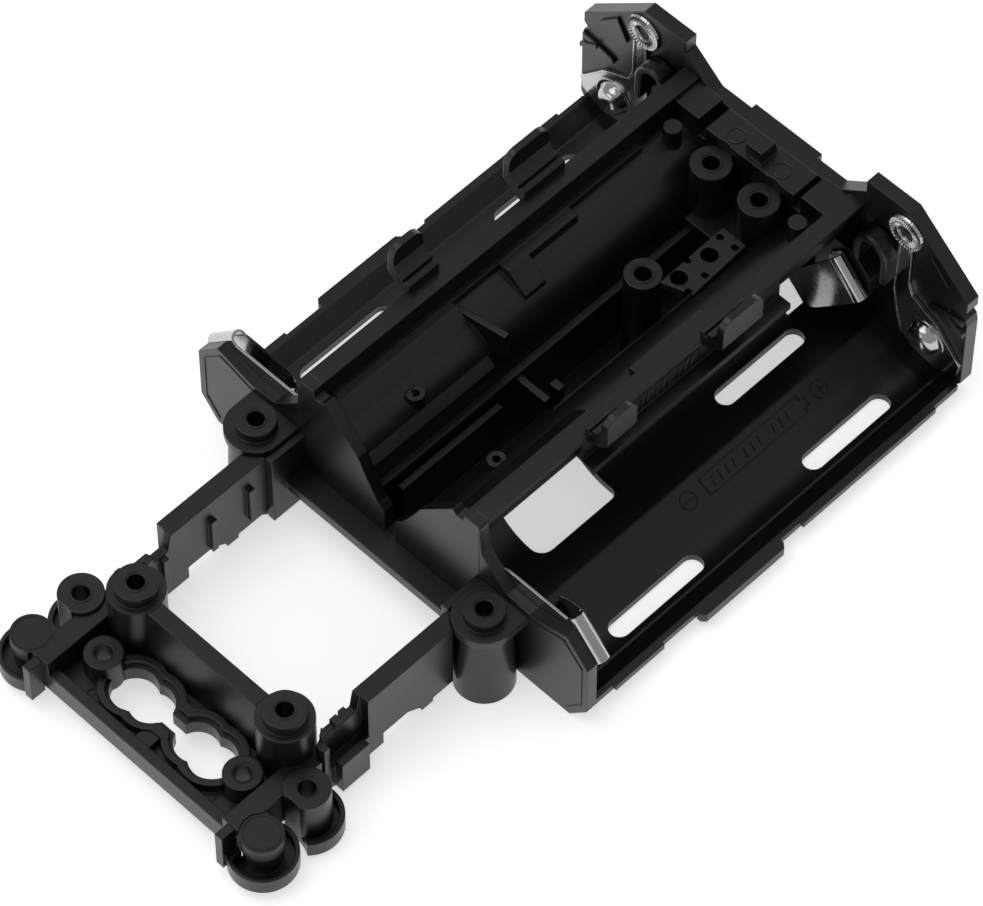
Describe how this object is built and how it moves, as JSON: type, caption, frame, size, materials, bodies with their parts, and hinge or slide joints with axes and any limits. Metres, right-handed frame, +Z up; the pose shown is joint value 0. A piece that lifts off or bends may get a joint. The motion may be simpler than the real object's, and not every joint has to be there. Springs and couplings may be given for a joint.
{
  "type": "battery chassis for a small radio-controlled car",
  "caption": "Moulded chassis of a palm-sized radio-controlled car: stepped bays for AAA cells along both sides, sprung contacts, side rails and a nose box with screw bosses.",
  "frame": {"origin": "centre of the overall bounding box in plan, on the plane of the flat underside", "axes": "+X to the nose, +Y to the car's left, +Z up"},
  "size_m": [0.0867, 0.051, 0.0225],
  "materials": {
    "black_plastic": "satin moulded",
    "contact_metal": "nickel-plated spring strip"
  },
  "bodies": {
    "chassis": {"board_boss": "black_plastic", "bulkhead_beam": "black_plastic", "left_board_post": "black_plastic", "left_bumper_boss": "black_plastic", "left_front_cell_clip": "black_plastic", "left_front_end_wall": "black_plastic", "left_front_horn": "black_plastic", "left_front_link_contact": "contact_metal", "left_inner_cradle": "black_plastic", "left_inner_rail": "black_plastic", "left_inner_roof": "black_plastic", "left_knuckle_boss": "black_plastic", "left_nose_screw_boss": "black_plastic", "left_nose_side_wall": "black_plastic", "left_outer_trough": "black_plastic", "left_rear_cell_clip": "black_plastic", "left_rear_end_plate": "black_plastic", "left_rear_inner_wall": "black_plastic", "left_rear_locating_post": "black_plastic", "left_rear_negative_contact": "contact_metal", "left_rear_positive_contact": "contact_metal", "left_rear_screw_boss": "black_plastic", "left_servo_boss": "black_plastic", "left_side_rail": "black_plastic", "left_tub_front_wall": "black_plastic", "nose_floor": "black_plastic", "nose_front_wall": "black_plastic", "nose_rear_wall": "black_plastic", "perforated_strip": "black_plastic", "rear_deck": "black_plastic", "rear_tab": "black_plastic", "rear_wall": "black_plastic", "right_board_post": "black_plastic", "right_bumper_boss": "black_plastic", "right_front_cell_clip": "black_plastic", "right_front_end_wall": "black_plastic", "right_front_horn": "black_plastic", "right_front_link_contact": "contact_metal", "right_inner_cradle": "black_plastic", "right_inner_rail": "black_plastic", "right_inner_roof": "black_plastic", "right_knuckle_boss": "black_plastic", "right_nose_screw_boss": "black_plastic", "right_nose_side_wall": "black_plastic", "right_outer_trough": "black_plastic", "right_rear_cell_clip": "black_plastic", "right_rear_end_plate": "black_plastic", "right_rear_inner_wall": "black_plastic", "right_rear_locating_post": "black_plastic", "right_rear_negative_contact": "contact_metal", "right_rear_positive_contact": "contact_metal", "right_rear_screw_boss": "black_plastic", "right_servo_boss": "black_plastic", "right_side_rail": "black_plastic", "right_tub_front_wall": "black_plastic", "tub_floor": "black_plastic"},
    "left_front_leaf": {"left_front_spring_leaf": "contact_metal"},
    "right_front_leaf": {"right_front_spring_leaf": "contact_metal"},
    "left_rear_leaf": {"left_rear_spring_leaf": "contact_metal"},
    "right_rear_leaf": {"right_rear_spring_leaf": "contact_metal"}
  },
  "joints": [
    {"name": "left_front_spring", "type": "hinge", "parent": "chassis", "child": "left_front_leaf", "pos_m": [0.00653, 0.0232, 0.0109], "axis": [0, -0.6717, 0.7408], "range_deg": [0, 12], "stiffness_Nm_per_rad": 0.03},
    {"name": "right_front_spring", "type": "hinge", "parent": "chassis", "child": "right_front_leaf", "pos_m": [0.00653, -0.0232, 0.0109], "axis": [0, -0.6717, -0.7408], "range_deg": [0, 12], "stiffness_Nm_per_rad": 0.03},
    {"name": "left_rear_spring", "type": "hinge", "parent": "chassis", "child": "left_rear_leaf", "pos_m": [-0.03803, 0.0124, 0.0103], "axis": [0, 0.6717, -0.7408], "range_deg": [0, 12], "stiffness_Nm_per_rad": 0.03},
    {"name": "right_rear_spring", "type": "hinge", "parent": "chassis", "child": "right_rear_leaf", "pos_m": [-0.03803, -0.0124, 0.0103], "axis": [0, 0.6717, 0.7408], "range_deg": [0, 12], "stiffness_Nm_per_rad": 0.03}
  ]
}
